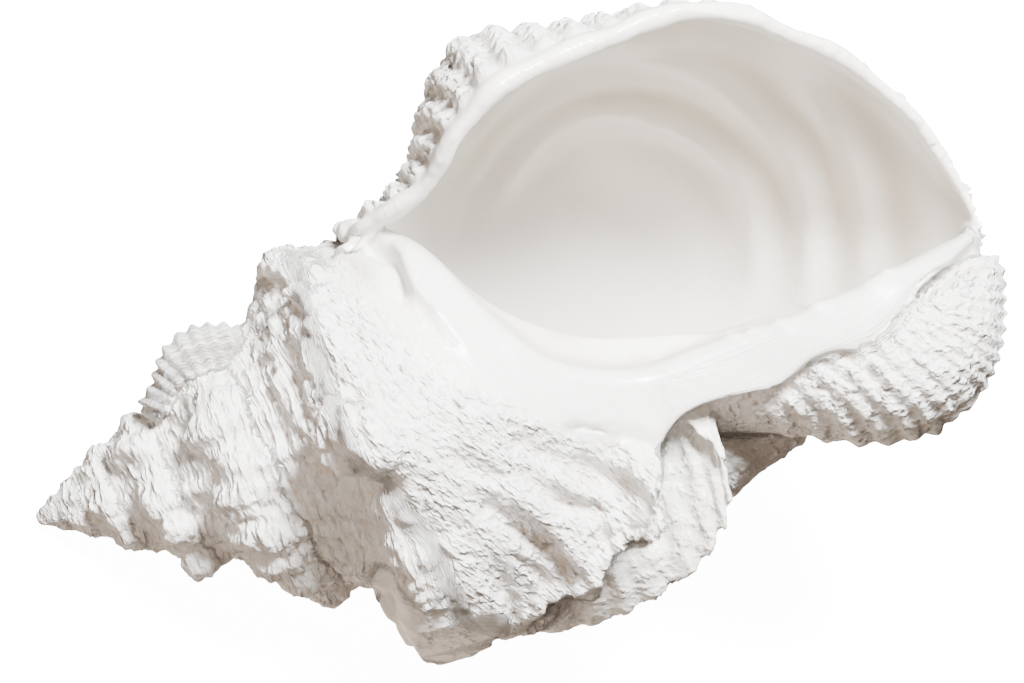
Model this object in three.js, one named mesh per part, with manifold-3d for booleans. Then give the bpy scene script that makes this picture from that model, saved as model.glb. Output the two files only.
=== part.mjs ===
// A giant frog shell (sold as a "conch"): knobbed spire, flared outer lip, one former
// lip left as a winged ridge, a smooth inner lip and a ribbed siphonal fan.
// Millimetres. The shell is laid out with its axis along X, spire tip at the origin,
// then turned into the attitude in which it lies at rest, +Z up.
import * as THREE from "three";
import { mergeVertices } from "three/addons/utils/BufferGeometryUtils.js";
import Module from "manifold-3d";

// ---- driving dimensions -------------------------------------------------------------
const SHORTEST_EDGE = 0.25;
const WHORL_GROWTH = 1.61; // each whorl is this much larger than the one before
const FULL_SIZE_TURN = 270; // the turn (degrees) at which the outlines are full size
const LIP_WALL = 3.2; // thickness of the last whorl's wall
const TURN_STEP = 8; // degrees between cross-sections
const SPIRE_START = -1556; // first cross-section, near the spire tip
const BODY_END = 92; // the last whorl is an open wall from here on

// Half outlines of a whorl, [along the axis, out from the axis], at full size.
const SPIRE_OUTLINE = [
  [88, 43], [100, 49], [109, 58], [117, 66], [131, 69], [147, 68],
  [163, 62], [177, 53], [190, 38], [204, 22], [221, 11], [239, 5],
];
const LAST_OUTLINE = [
  [90, 42], [103, 46], [113, 57], [122, 73], [137, 80], [152, 77],
  [168, 71], [186, 61], [203, 48], [219, 33], [232, 17], [239, 5],
];
// The final lip: the turn at which its edge stands, and how far it flares out.
const LIP_TURN = [296, 303, 306, 306, 303, 299, 294, 290, 285, 279, 272, 262];
const LIP_FLARE = [5, 9, 7, 0, -2, 1, 7, 15, 18, 19, 11, 0];

// Knobs: [turn, place on the outline 0..1, height, half width (turn), half width (place)].
const KNOBS = [
  [262, 0.33, 4, 15, 0.06], [222, 0.3, 6, 14, 0.08], [180, 0.27, 8, 14, 0.08],
  [134, 0.25, 9, 14, 0.08], [158, 0.57, 9, 14, 0.07], [84, 0.2, 11, 15, 0.09],
  [205, 0.55, 6, 12, 0.07], [118, 0.55, 5, 12, 0.07],
  [40, 0.24, 5, 12, 0.06], [4, 0.32, 12, 15, 0.09], [-40, 0.3, 5, 12, 0.07],
  [-88, 0.26, 8, 15, 0.09], [-132, 0.3, 8, 13, 0.08], [-172, 0.3, 8, 13, 0.08],
  [-212, 0.3, 9, 13, 0.08], [-258, 0.36, 12, 14, 0.09],
];
const SPIRE_KNOB_GAP = 33; // from the last listed knob back to the tip
const SPIRE_KNOB = [0.33, 9, 9.5, 0.085];

// The former lip: its edge as [along, out, turn] and where it leaves the whorl.
const OLD_LIP_EDGE = [
  [76, 47, 112], [88, 55, 106], [101, 58.8, 99], [121.7, 60.9, 94], [135.7, 59.3, 88],
  [152, 54.5, 78], [161, 47.5, 68], [163.5, 40.5, 58], [159, 32, 48], [150, 24, 36],
];
const OLD_LIP_ROOT_GAP = 34;
const RIDGE_EDGE = [
  [79, 53, 92], [89, 58, 86], [102, 59, 80], [115, 58, 72], [128, 57, 64],
  [139, 53, 55], [146, 47, 47], [151, 38, 38], [153, 30, 26],
];
const RIDGE_ROOT_GAP = 50;

// The inner lip: [along, p and z of its aperture edge, p and z of its outer edge].
const INNER_LIP = [
  [97, 43, 22, 36, 31.5], [104, 41, 26, 28, 40], [111, 33, 32.5, 14, 44],
  [118, 20, 37, 0, 43.5], [124, 11, 37.5, -8, 41], [130, 3.5, 36, -14, 38],
  [137, -0.5, 33.5, -17.5, 34.5], [144, -3, 31, -20, 32], [150.5, -4.5, 29, -22.4, 30],
  [157, -4, 28, -18, 29], [167, -3, 26.5, -17, 27.5], [179, -2.5, 26, -18, 27],
  [190, -2, 26, -14, 27.5], [205, 0, 25.5, -12, 27], [212, 1.5, 24, -7, 25.5],
  [224, 4, 18, -2, 20], [236, 6, 9, 3, 9.5],
];

// The siphonal fan, the pillar it grows from and the spire's tip, [along, out].
const FAN_OUTLINE = [
  [151, 11], [160, 22], [172, 26], [184, 30], [196, 35], [208, 37.5],
  [218, 36], [227, 31], [233.5, 23], [237.5, 13], [240, 3],
];
const FAN_START = 16;
const FAN_END = 168;
const PILLAR = [[100, 0], [101, 4], [150, 6], [214, 7], [222, 4], [224, 0]];
const PILLAR_SHIFT = -6.5;
const TIP = [[0, 0], [9, 4], [16, 4], [30, 2.2], [196, 2.2], [197, 0]];

// ---- small helpers ------------------------------------------------------------------
const radians = THREE.MathUtils.degToRad;
const blend = THREE.MathUtils.lerp;
const ease = THREE.MathUtils.smoothstep;

function bell(x, centre, width) {
  return Math.exp(-(((x - centre) / width) ** 2));
}

// A smooth curve through a table's rows, t from 0 to 1.
function along(table, t) {
  const place = THREE.MathUtils.clamp(t, 0, 1) * (table.length - 1);
  const i = Math.min(Math.floor(place), table.length - 2);
  const w = place - i;
  const rows = [table[Math.max(i - 1, 0)], table[i], table[i + 1]];
  rows.push(table[Math.min(i + 2, table.length - 1)]);
  const curve = (p, q, r, s) => {
    const v0 = (r - p) / 2;
    const v1 = (s - q) / 2;
    const cubic = (2 * q - 2 * r + v0 + v1) * w ** 3;
    return cubic + (-3 * q + 3 * r - 2 * v0 - v1) * w ** 2 + v0 * w + q;
  };
  if (typeof table[0] === "number") return curve(...rows);
  return table[0].map((_, k) => curve(...rows.map((row) => row[k])));
}

function steps(from, to, gap) {
  const n = Math.max(1, Math.round((to - from) / gap));
  return Array.from({ length: n + 1 }, (_, i) => from + ((to - from) * i) / n);
}

// Turn 0 faces the aperture's side (+Z here), and the shell grows towards -Y.
function place(axial, out, turn) {
  const angle = radians(turn);
  return new THREE.Vector3(axial, -out * Math.sin(angle), out * Math.cos(angle));
}

// ---- the growing whorl --------------------------------------------------------------
function growth(turn) {
  return WHORL_GROWTH ** ((turn - FULL_SIZE_TURN) / 360);
}

function allKnobs() {
  const knobs = [...KNOBS];
  let turn = KNOBS[KNOBS.length - 1][0];
  while (turn > SPIRE_START) {
    turn -= SPIRE_KNOB_GAP;
    knobs.push([turn, ...SPIRE_KNOB.slice(0, 2), SPIRE_KNOB[2], SPIRE_KNOB[3]]);
  }
  return knobs;
}
const EVERY_KNOB = allKnobs();

function knobHeight(turn, t) {
  let height = 0;
  for (const [centre, where, tall, wide, deep] of EVERY_KNOB) {
    if (Math.abs(turn - centre) > 3 * wide) continue;
    const row = bell(t, where, deep) + 0.35 * bell(t, where + 0.21, 0.07);
    height += tall * bell(turn, centre, wide) * row;
  }
  return height * growth(turn);
}

// [along, out] of the whorl's outside at a turn, t from suture (0) to canal (1).
function whorl(turn, t) {
  const size = growth(turn);
  const mature = ease(turn, 60, 220);
  const young = along(SPIRE_OUTLINE, t);
  const old = along(LAST_OUTLINE, t);
  const reach = ease(turn, 60, 130) * ease(t, 0.5, 0.85) * 0.85;
  const scale = blend(size, 1, reach);
  const a = blend(young[0], old[0], mature) * scale;
  // Inside the mouth the older canal draws in towards the axis, behind the inner lip.
  const tuck = ease(turn, -175, -130) * (1 - ease(turn, -62, -30)) * ease(t, 0.6, 0.82) * 0.75;
  const r = blend(young[1], old[1], mature) * scale * (1 - tuck);
  return [a, r + knobHeight(turn, t)];
}

// ---- closed solids from two facing grids of points ----------------------------------
function solidBetween(outer, inner) {
  const rows = outer.length;
  const columns = outer[0].length;
  const positions = [];
  for (const grid of [outer, inner]) {
    for (const row of grid) for (const p of row) positions.push(p.x, p.y, p.z);
  }
  const index = [];
  const at = (side, i, j) => side * rows * columns + i * columns + j;
  const quad = (a, b, c, d) => index.push(a, b, c, a, c, d);
  for (let i = 0; i + 1 < rows; i++) {
    for (let j = 0; j + 1 < columns; j++) {
      quad(at(0, i, j), at(0, i, j + 1), at(0, i + 1, j + 1), at(0, i + 1, j));
      quad(at(1, i, j), at(1, i + 1, j), at(1, i + 1, j + 1), at(1, i, j + 1));
    }
    quad(at(0, i, 0), at(0, i + 1, 0), at(1, i + 1, 0), at(1, i, 0));
    const e = columns - 1;
    quad(at(0, i + 1, e), at(0, i, e), at(1, i, e), at(1, i + 1, e));
  }
  for (let j = 0; j + 1 < columns; j++) {
    quad(at(0, 0, j + 1), at(0, 0, j), at(1, 0, j), at(1, 0, j + 1));
    const e = rows - 1;
    quad(at(0, e, j), at(0, e, j + 1), at(1, e, j + 1), at(1, e, j));
  }
  const geometry = new THREE.BufferGeometry();
  geometry.setAttribute("position", new THREE.Float32BufferAttribute(positions, 3));
  geometry.setIndex(index);
  return geometry;
}

const wasm = await Module();
wasm.setup();

function toSolid(geometry) {
  const bare = geometry.clone();
  bare.deleteAttribute("normal");
  bare.deleteAttribute("uv");
  const merged = mergeVertices(bare, 1e-4);
  const triVerts = new Uint32Array(merged.index.array);
  const vertProperties = merged.attributes.position.array;
  const solid = new wasm.Manifold(new wasm.Mesh({ numProp: 3, vertProperties, triVerts }));
  if (solid.volume() >= 0) return solid;
  for (let i = 0; i < triVerts.length; i += 3) {
    [triVerts[i + 1], triVerts[i + 2]] = [triVerts[i + 2], triVerts[i + 1]];
  }
  return new wasm.Manifold(new wasm.Mesh({ numProp: 3, vertProperties, triVerts }));
}

// ---- parts of the shell -------------------------------------------------------------
const PLACES = [0, 0.07, 0.14, 0.2, 0.26, 0.33, 0.4, 0.48, 0.56, 0.64, 0.73, 0.82, 0.91, 1];

// The solid spire and body whorl, in wedges of less than one whole turn.
function spireSolids() {
  const turns = steps(SPIRE_START, BODY_END, TURN_STEP);
  const perWedge = 40;
  const solids = [];
  for (let first = 0; first + 1 < turns.length; first += perWedge - 1) {
    const run = turns.slice(first, first + perWedge + 1);
    if (run.length < 2) break;
    const outer = run.map((turn) => PLACES.map((t) => place(...whorl(turn, t), turn)));
    const inner = run.map((turn) =>
      PLACES.map((t) => {
        const axial = whorl(turn, t)[0];
        return place(axial, 0.008 * axial, turn);
      }),
    );
    solids.push(toSolid(solidBetween(outer, inner)));
  }
  return solids;
}

// The last whorl is an open wall out to the flared lip.
// A point of its wall: s from the body (0) to the lip's edge (1), depth into the wall.
function lipPoint(s, t, depth) {
  const edge = along(LIP_TURN, t);
  const turn = s < 0 ? BODY_END - TURN_STEP : blend(BODY_END, edge, s);
  const [axial, out] = whorl(turn, t);
  const near = ease(turn, edge - 75, edge + 10);
  const flared = out + along(LIP_FLARE, t) * near ** 1.7;
  return place(axial, flared - depth * (s > 0.999 ? 0.6 : 1), turn);
}

function lastWhorl() {
  const shares = [-1, ...steps(0, 1, 1 / 26)];
  const outer = shares.map((s) => PLACES.map((t) => lipPoint(s, t, 0)));
  const inner = shares.map((s) => PLACES.map((t) => lipPoint(s, t, LIP_WALL)));
  return toSolid(solidBetween(outer, inner));
}

// A wing from the whorl's surface out to an edge curve.
function wing(edgeTable, rootGap, thickness, sharpness) {
  const shares = [0, 0.25, 0.5, 0.68, 0.84, 0.94, 1];
  const count = edgeTable.length * 2 - 1;
  const grid = (depth) =>
    shares.map((s) =>
      Array.from({ length: count }, (_, j) => {
        const [axial, out, turn] = along(edgeTable, j / (count - 1));
        const rootTurn = turn - rootGap;
        const t = placeAtAxial(rootTurn, axial);
        const [rootAxial, rootOut] = whorl(rootTurn, t);
        const a = blend(rootAxial, axial, s);
        const thin = depth * (1 - 0.45 * s);
        const r = blend(rootOut - 2, out, s ** sharpness) - thin;
        return place(a, r, blend(rootTurn, turn, s));
      }),
    );
  return toSolid(solidBetween(grid(0), grid(thickness)));
}

// The place on the outline whose distance along the axis is nearest the one asked for.
function placeAtAxial(turn, axial) {
  let best = 0;
  for (let t = 0; t <= 1; t += 0.01) {
    const gap = Math.abs(whorl(turn, t)[0] - axial);
    if (gap < Math.abs(whorl(turn, best)[0] - axial)) best = t;
  }
  return best;
}

function innerLip() {
  const top = [];
  const under = [];
  for (const u of steps(0, 1, 1 / 32)) {
    const [axial, pIn, zIn, pOut, zOut] = along(INNER_LIP, u);
    const wide = pIn - pOut;
    const dip = 0.06 * wide;
    top.push([
      new THREE.Vector3(axial, pIn + 0.8, zIn - 15),
      new THREE.Vector3(axial, pIn + 1, zIn - 7),
      new THREE.Vector3(axial, pIn, zIn - 1.6),
      new THREE.Vector3(axial, pIn - 1.6, zIn),
      new THREE.Vector3(axial, pIn - 0.4 * wide, blend(zIn, zOut, 0.4) - dip),
      new THREE.Vector3(axial, pIn - 0.75 * wide, blend(zIn, zOut, 0.75) - dip),
      new THREE.Vector3(axial, pOut, zOut),
    ]);
    under.push([
      new THREE.Vector3(axial, pIn - 2.4, zIn - 15.4),
      new THREE.Vector3(axial, pIn - 4, zIn - 13),
      new THREE.Vector3(axial, pIn - 4.5, zIn - 11),
      new THREE.Vector3(axial, pIn - 5, zIn - 9),
      new THREE.Vector3(axial, pIn - 0.45 * wide, blend(zIn, zOut, 0.4) - dip - 6),
      new THREE.Vector3(axial, pIn - 0.75 * wide, blend(zIn, zOut, 0.75) - dip - 4),
      new THREE.Vector3(axial, pOut + 0.8, zOut - 2.6),
    ]);
  }
  return toSolid(solidBetween(top, under));
}

function fan() {
  const turns = steps(FAN_START, FAN_END, TURN_STEP);
  const shares = steps(0, 1, 1 / 12);
  const size = (turn) => (0.5 + 0.5 * ease(turn, -10, 60)) * (1 - 0.4 * ease(turn, 95, 172));
  const outer = turns.map((turn) =>
    shares.map((u) => {
      const [axial, out] = along(FAN_OUTLINE, u);
      return place(axial, out * size(turn), turn);
    }),
  );
  const inner = turns.map((turn) =>
    shares.map((u) => place(blend(along(FAN_OUTLINE, u)[0], 200, 0.1), 1, turn)),
  );
  return toSolid(solidBetween(outer, inner));
}

function turned(table, shift) {
  const profile = table.map(([axial, out]) => new THREE.Vector2(out, axial));
  const lathe = new THREE.LatheGeometry(profile, 20);
  lathe.rotateZ(-Math.PI / 2);
  lathe.translate(0, shift, 0);
  return toSolid(lathe);
}

function shellSolid() {
  let solid = turned(TIP, 0).add(turned(PILLAR, PILLAR_SHIFT));
  for (const wedge of spireSolids()) solid = solid.add(wedge);
  solid = solid.add(lastWhorl());
  solid = solid.add(wing(OLD_LIP_EDGE, OLD_LIP_ROOT_GAP, 3.4, 1.7));
  solid = solid.add(wing(RIDGE_EDGE, RIDGE_ROOT_GAP, 7, 1.5));
  solid = solid.add(innerLip());
  solid = solid.add(fan());
  return outsideOf(solid);
}

// Pockets closed in between joined pieces come apart as bodies of their own.
function outsideOf(solid) {
  const bodies = solid.decompose();
  return bodies.reduce((a, b) => (b.volume() > a.volume() ? b : a));
}

// Joining leaves some edges far shorter than any detail: each is drawn to one point,
// where the triangles round it stay a closed surface.
function withoutShortEdges(points, triangles, shortest) {
  const around = points.map(() => new Set());
  triangles.forEach((triangle, k) => triangle.forEach((v) => around[v].add(k)));
  const neighbours = (v) => {
    const found = new Set();
    for (const k of around[v]) for (const w of triangles[k]) if (w !== v) found.add(w);
    return found;
  };
  const collapse = (keep, drop) => {
    const near = neighbours(keep);
    const shared = [...neighbours(drop)].filter((v) => near.has(v));
    if (shared.length !== 2) return false;
    for (const k of [...around[drop]]) {
      const triangle = triangles[k];
      if (triangle.includes(keep)) {
        triangle.forEach((v) => around[v].delete(k));
        triangles[k] = null;
      } else {
        triangle[triangle.indexOf(drop)] = keep;
        around[keep].add(k);
      }
    }
    around[drop].clear();
    return true;
  };
  for (let changed = true; changed; ) {
    changed = false;
    for (let k = 0; k < triangles.length; k++) {
      for (let e = 0; e < 3 && triangles[k]; e++) {
        const a = triangles[k][e];
        const b = triangles[k][(e + 1) % 3];
        if (points[a].distanceTo(points[b]) < shortest && collapse(a, b)) changed = true;
      }
    }
  }
  return triangles.filter(Boolean);
}

// Two sheets that touch at a point share no vertex: one is drawn back a little.
function heldApart(points, triangles) {
  const taken = new Map();
  for (const v of new Set(triangles.flat())) {
    const key = points[v].toArray().map((x) => Math.round(x * 50)).join();
    if (!taken.has(key)) {
      taken.set(key, v);
      continue;
    }
    const middle = new THREE.Vector3();
    const touching = triangles.filter((triangle) => triangle.includes(v));
    for (const triangle of touching) for (const w of triangle) middle.add(points[w]);
    middle.divideScalar(touching.length * 3);
    points[v].lerp(middle, 0.15);
  }
}

function toGeometry(solid) {
  const mesh = solid.getMesh();
  const points = Array.from({ length: mesh.numVert }, (_, i) =>
    new THREE.Vector3().fromArray(mesh.vertProperties, i * mesh.numProp),
  );
  const same = [...points.keys()];
  const [from, to] = [mesh.mergeFromVert ?? [], mesh.mergeToVert ?? []];
  from.forEach((v, i) => (same[v] = to[i]));
  const triangles = [];
  for (let i = 0; i < mesh.triVerts.length; i += 3) {
    triangles.push([...mesh.triVerts.subarray(i, i + 3)].map((v) => same[v]));
  }
  const kept = withoutShortEdges(points, triangles, SHORTEST_EDGE);
  heldApart(points, kept);
  const geometry = new THREE.BufferGeometry().setFromPoints(points);
  geometry.setIndex(kept.flat());
  return geometry;
}

// ---- lying at rest ------------------------------------------------------------------
// Upward direction in the shell's own frame when it lies on its spire and back knobs.
const UP = new THREE.Vector3(0.5171, 0.3377, 0.7864).normalize();
const REST_FLAT = 0.35; // how deep the resting knobs are worn flat

// Turns the shell's frame so that UP is +Z and its axis points to +X seen from above.
function restTurn() {
  const east = new THREE.Vector3(1, 0, 0).addScaledVector(UP, -UP.x).normalize();
  const north = new THREE.Vector3().crossVectors(UP, east);
  const basis = new THREE.Matrix4().makeBasis(east, north, UP);
  return new THREE.Quaternion().setFromRotationMatrix(basis.transpose());
}

function boundsWhenTurned(geometry, turn) {
  const matrix = new THREE.Matrix4().makeRotationFromQuaternion(turn);
  const copy = geometry.clone().applyMatrix4(matrix);
  copy.computeBoundingBox();
  return copy.boundingBox;
}

// The lowest knobs cut level, so that they stand flat on the floor.
function wornFlat(solid, turn) {
  const floor = boundsWhenTurned(toGeometry(solid), turn).min.z + REST_FLAT;
  const box = new THREE.BoxGeometry(400, 400, 20);
  box.translate(0, 0, floor - 10);
  box.applyQuaternion(turn.clone().invert());
  return solid.subtract(toSolid(box));
}

// ---- the part -----------------------------------------------------------------------
const white = new THREE.MeshStandardMaterial({ color: 0xebe6df, roughness: 0.6, metalness: 0 });
const turn = restTurn();
const shell = new THREE.Mesh(toGeometry(wornFlat(shellSolid(), turn)), white);
shell.name = "conch_shell";
const lying = new THREE.Group();
lying.quaternion.copy(turn);
lying.add(shell);
const extent = boundsWhenTurned(shell.geometry, turn);
const part = new THREE.Group();
const middle = extent.getCenter(new THREE.Vector3());
lying.position.set(-middle.x, -middle.y, -extent.min.z);
part.add(lying);
export default part;
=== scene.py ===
"""A giant frog shell, one of the shells sold as a conch, lying at rest."""
import math
import bmesh
import bpy
import numpy as np
from mathutils import Matrix, Vector
from mathutils.bvhtree import BVHTree


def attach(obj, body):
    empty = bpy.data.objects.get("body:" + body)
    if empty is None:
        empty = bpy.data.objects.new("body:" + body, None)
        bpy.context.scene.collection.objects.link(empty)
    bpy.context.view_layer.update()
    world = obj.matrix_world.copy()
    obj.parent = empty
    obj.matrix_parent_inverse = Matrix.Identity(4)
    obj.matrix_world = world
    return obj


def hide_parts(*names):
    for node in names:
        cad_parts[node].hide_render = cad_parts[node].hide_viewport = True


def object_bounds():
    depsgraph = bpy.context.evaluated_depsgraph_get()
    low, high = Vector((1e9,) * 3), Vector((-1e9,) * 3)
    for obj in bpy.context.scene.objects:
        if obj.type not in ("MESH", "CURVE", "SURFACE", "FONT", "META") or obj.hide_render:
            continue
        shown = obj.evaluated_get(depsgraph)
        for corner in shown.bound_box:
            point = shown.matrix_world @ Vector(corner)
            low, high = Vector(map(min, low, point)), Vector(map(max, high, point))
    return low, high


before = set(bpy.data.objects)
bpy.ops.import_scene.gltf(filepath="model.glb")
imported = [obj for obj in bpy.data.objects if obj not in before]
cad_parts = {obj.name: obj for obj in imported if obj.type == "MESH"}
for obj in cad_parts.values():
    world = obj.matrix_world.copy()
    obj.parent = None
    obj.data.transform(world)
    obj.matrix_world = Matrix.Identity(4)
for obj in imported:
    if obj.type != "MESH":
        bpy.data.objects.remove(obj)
cad_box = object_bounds()

MM = 0.001
METRE = 1000

# ---- how the shell grows, millimetres and degrees of turn ----
WHORL_GROWTH = 1.61
FULL_SIZE_TURN = 270
SPIRE_START = -2560
BODY_END = 92
WALL_START = 84
LIP_WALL = 3.2

# Half outlines of a whorl at full size: distance along the axis, distance out from it.
SPIRE_OUTLINE = [
    (88, 43), (100, 49), (109, 58), (117, 66), (131, 69), (147, 68),
    (163, 62), (177, 53), (190, 38), (204, 22), (221, 11), (239, 5)]
LAST_OUTLINE = [
    (90, 42), (103, 46), (113, 57), (122, 73), (137, 80), (152, 77),
    (168, 71), (186, 61), (203, 48), (219, 33), (232, 17), (239, 5)]
LIP_TURN = [296, 303, 306, 306, 303, 299, 294, 290, 285, 279, 272, 262]
LIP_FLARE = [5, 9, 7, 0, -2, 1, 7, 15, 18, 19, 11, 0]

# Knobs: turn, place on the outline, height, half width in turn, half width in place.
KNOBS = [
    (262, .33, 4, 15, .06), (222, .3, 6, 14, .08), (180, .27, 8, 14, .08),
    (134, .25, 9, 14, .08), (158, .57, 9, 14, .07), (84, .2, 11, 15, .09),
    (205, .55, 6, 12, .07), (118, .55, 5, 12, .07),
    (40, .24, 5, 12, .06), (4, .32, 12, 15, .09), (-40, .3, 5, 12, .07),
    (-88, .26, 8, 15, .09), (-132, .3, 8, 13, .08), (-172, .3, 8, 13, .08),
    (-212, .3, 9, 13, .08), (-258, .36, 12, 14, .09)]
SPIRE_KNOB_GAP = 33
SPIRE_KNOB = (.33, 9, 9.5, .085)

# The former lip and the thick ridge before it: (along, out, turn) of their edges.
OLD_LIP_EDGE = [
    (76, 47, 112), (88, 55, 106), (101, 58.8, 99), (121.7, 60.9, 94), (135.7, 59.3, 88),
    (152, 54.5, 78), (161, 47.5, 68), (163.5, 40.5, 58), (159, 32, 48), (150, 24, 36)]
RIDGE_EDGE = [
    (79, 53, 92), (84, 55, 89), (89, 58, 86), (94, 60, 84), (98.3, 59.3, 82), (100.8, 57.7, 80.6),
    (105.1, 57, 78), (108.6, 56.9, 76), (111.6, 55.7, 74), (114.6, 53.9, 72.3), (118.7, 54.2, 69.8),
    (121.3, 56.2, 68.1), (125, 58.4, 65.8), (127.8, 55.7, 64.1), (129.9, 52.1, 62.4),
    (132.9, 50.9, 60), (137.4, 50.8, 56.3), (142.5, 55.7, 51), (144.7, 54.6, 48.5),
    (145.2, 49.9, 48), (145.8, 45.4, 47.2), (148.4, 43.5, 42.7), (149.5, 39, 40.7),
    (151.5, 32, 36.5), (153, 26, 30)]

# The inner lip: along, then p and z of its mouth edge and of its outer edge.
INNER_LIP = [
    (97, 43, 22, 36, 31.5), (104, 41, 26, 28, 40), (111, 33, 32.5, 14, 44),
    (118, 20, 37, 0, 43.5), (124, 11, 37.5, -8, 41), (130, 3.5, 36, -14, 38),
    (137, -.5, 33.5, -17.5, 34.5), (144, -3, 31, -20, 32), (150.5, -4.5, 29, -22.4, 30),
    (157, -4, 28, -18, 29), (167, -3, 26.5, -17, 27.5), (179, -2.5, 26, -18, 27),
    (190, -2, 26, -14, 27.5), (205, 0, 25.5, -12, 27), (212, 1.5, 24, -7, 25.5),
    (224, 4, 18, -2, 20), (236, 6, 9, 3, 9.5)]

FAN_OUTLINE = [
    (151, 11), (160, 22), (172, 26), (184, 30), (196, 35), (208, 37.5),
    (218, 36), (227, 31), (233.5, 23), (237.5, 13), (240, 3)]
FAN_TURNS = (16, 168)
PILLAR = [(100, 0), (101, 4), (150, 6), (214, 7), (222, 4), (224, 0)]
PILLAR_SHIFT = -6.5

# The small former lip on the spire: base and crest (along, p) as seen from the mouth's side.
COMB_BASE = [(39, 14.5), (41.5, 17.5), (44, 20.5), (48, 22.5), (53, 22.5), (58, 22), (63, 20.5)]
COMB_CREST = [(36, 17), (37.5, 21), (40, 26), (43.5, 30.5), (50, 33.5), (56, 33), (61.5, 31)]
COMB_Z = (19, 11)
COMB_RIBS = 10

# Ridges (above 0) and grooves (below 0) on the mouth's side: height, width, (along, p) points.
STROKES = [
    (-2.4, 2.4, [(70.5, 42), (74, 35.5), (76.5, 31.1), (79.5, 27.5)]),
    (1.6, 1.6, [(71.1, 29.7), (70.2, 19.7), (69.4, 13.7), (70.5, 8), (72.5, 2)]),
    (-1.3, 1.4, [(72.8, 29), (72.2, 20), (71.7, 13), (73.2, 6), (75, -1)]),
    (-4.0, 1.9, [(89.5, 42.5), (94, 42.3), (98, 40), (100.6, 36), (101.1, 31), (101.3, 26)]),
    (-1.6, 1.2, [(85.5, 10), (85, 4), (84.5, -1), (86, -5)]),
    (-3.0, 3.0, [(73, -2), (75.5, -8), (80, -13), (86, -15), (90, -13)]),
    (-1.4, .9, [(81, -9), (81.6, -9.2)]), (-1.3, .8, [(78, -8.6), (78.5, -9)]),
    (-1.3, .8, [(84.5, -11.2), (85, -11.3)]), (-1.2, .8, [(87.5, -6), (88, -6.2)]),
    (-2.0, 7.0, [(75, -18), (80, -22), (85, -26)]),
    (-2.2, 1.6, [(79.5, 8), (77.2, 3), (76.8, -2), (78.5, -7)]),
    (-.8, 1.2, [(101, -34), (103, -40), (104, -46)]),
    (-1.7, 2.1, [(102.5, -10.5), (105.5, -14), (109, -17.3), (112, -20)]),
    (-3.0, 2.6, [(106, -24), (110, -28.5), (114.5, -34), (118.5, -40), (120.5, -45), (121.5, -50)]),
    (-1.5, 1.4, [(110, -38), (114, -43), (117, -48)]),
    (-2.6, 2.5, [(117.5, -11.5), (122, -15.5), (127, -20), (133, -24.5), (138, -28.5), (142, -33),
                 (144, -37)]),
    (-2.0, 1.8, [(117, -18), (121, -24), (124, -29), (129, -31.5), (134, -34)]),
    (-.9, 1.1, [(130, -14.8), (133, -14.3), (136, -16), (140, -18), (145, -20.5), (149, -24),
                (151, -27)]),
    (-1.2, 2.0, [(129, -12.5), (135, -14.5), (142, -17), (150, -23)]),
    (1.0, 1.4, [(148.4, -29.5), (145, -33.3), (144.4, -37.1), (143.8, -40), (141.5, -42),
                (137.4, -41.3), (132.2, -43), (129, -45.5), (126.8, -50), (124.5, -52),
                (121.3, -51.2), (118, -49.8), (114, -50.4), (111, -52.3), (108, -54),
                (104.5, -54.6), (100.8, -55.8)]),
    (-1.0, .8, [(142, -36), (141, -39.5), (136.5, -39), (130.5, -41), (126, -44.5), (124, -49)]),
    (-1.1, 1.2, [(239, 1.8), (230, -.8), (223, -1.3), (217.5, -3.1), (214.4, -5.3), (210, -8.4),
                (204, -11.6), (200, -15.1), (193.8, -13.1), (188.6, -13.8), (185.6, -15.7),
                (183.3, -17.5), (180.6, -18.3)]),
    (1.0, 1.6, [(171.6, -1), (173, -3.4)]), (.9, 1.6, [(177, -1), (178, -3.6)]),
    (1.0, 1.7, [(183.2, -1.2), (184.5, -4)]), (1.1, 1.8, [(192, .2), (194, -2.6)]),
    (1.0, 1.6, [(200, 2.3), (202, 0)]), (.9, 1.6, [(205.4, 2.6), (207, .4)]),
    (.8, 1.5, [(210.5, 2.6), (212, .6)])]

# Rounded lobes that stand on the mouth's side: rise, radius, (along, p) points.
LOBES = [
    (5.6, 6.4, [(80.5, 4), (79.5, 0), (80.5, -5)]),
    (4.6, 5.8, [(84, 3), (86, -3), (88, -7)]),
    (2.2, 4.0, [(74, 42), (76.5, 38)]), (2.0, 3.6, [(80.5, 41), (83, 36)]),
    (2.0, 3.4, [(77.8, 34), (81.1, 27), (83.8, 18.8), (85.3, 12)]),
    (3.0, 7.0, [(90, -31), (88.5, -38), (88, -46), (89.5, -53)]),
    (2.4, 6.4, [(98, -30), (99.5, -38), (100, -46), (99, -52)]),
    (2.6, 6.5, [(93.5, -34), (94, -43), (94, -52)]),
    (4.4, 9.0, [(89, -36), (88.5, -42), (89, -49), (89.5, -54)]),
    (3.8, 8.4, [(97, -35), (98, -42), (98.5, -51)]),
    (3.0, 4.0, [(91.5, 39), (96, 36.5), (98, 31)]),
    (2.8, 3.8, [(104, 37.5), (105, 31)]),
    (1.8, 4.2, [(114, -23), (118.5, -31), (122, -38), (123.5, -45)]),
    (1.6, 4.6, [(124, -23), (130, -29), (135, -35)]),
    (1.6, 4.0, [(132, -17), (138, -22), (144, -28)]),
    (1.5, 3.0, [(155.5, -19.5), (157, -25), (157.5, -31)]),
    (2.0, 3.4, [(76, -31), (80, -36)]), (2.0, 3.4, [(79, -40), (82, -46)]),
    (1.9, 2.2, [(45.5, 21.4), (46.4, 21.6)]), (1.9, 2.2, [(49.2, 22.6), (50, 22.7)]),
    (1.9, 2.2, [(53, 22.8), (53.8, 22.8)]), (1.9, 2.2, [(56.8, 22.4), (57.6, 22.2)]),
    (1.8, 2.1, [(60.4, 21.6), (61.2, 21.4)])]

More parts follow.
